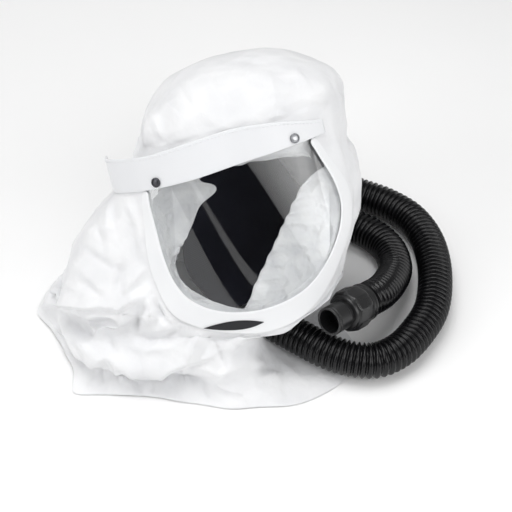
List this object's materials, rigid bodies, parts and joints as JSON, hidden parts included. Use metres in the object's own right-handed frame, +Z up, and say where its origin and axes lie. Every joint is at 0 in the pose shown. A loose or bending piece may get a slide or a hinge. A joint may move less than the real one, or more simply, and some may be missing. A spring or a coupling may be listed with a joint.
{
  "type": "disposable respirator hood",
  "caption": "Soft white respirator hood lying on its cape, with a clear visor, brow band, head harness, and a black corrugated breathing hose ending in a connector.",
  "frame": {"origin": "on the supporting surface, under the middle of the hood without its hose", "axes": "+Z up from the surface, -Y towards the side that the visor faces, +X towards the side where the hose lies"},
  "size_m": [0.4745, 0.4545, 0.2931],
  "materials": {
    "cloth": "crumpled white nonwoven, matt with a faint sheen",
    "seal": "thin white nonwoven gathered on elastic",
    "visor": "clear flexible plastic sheet, glossy",
    "rim": "satin white moulded strip",
    "band": "satin white coated band",
    "stud": "bright steel rivet head",
    "label": "dark grey plate, left bare",
    "harness": "dark navy woven textile",
    "hose": "black satin corrugated hose",
    "connector": "black satin moulded plastic"
  },
  "bodies": {
    "root": {"hood_shell": "cloth", "hood_cape": "cloth", "visor": "visor", "visor_rim": "rim", "brow_band": "band", "stud_right": "stud", "stud_left": "stud", "chin_label": "label", "face_seal": "seal", "harness_headband": "harness", "harness_crown_strap": "harness", "harness_nape_pad": "harness", "harness_tab_right": "harness", "harness_tab_left": "harness", "hose_inlet": "connector", "breathing_hose": "hose", "connector_cuff": "connector", "connector_collar": "connector", "connector_spigot": "connector"}
  },
  "joints": []
}
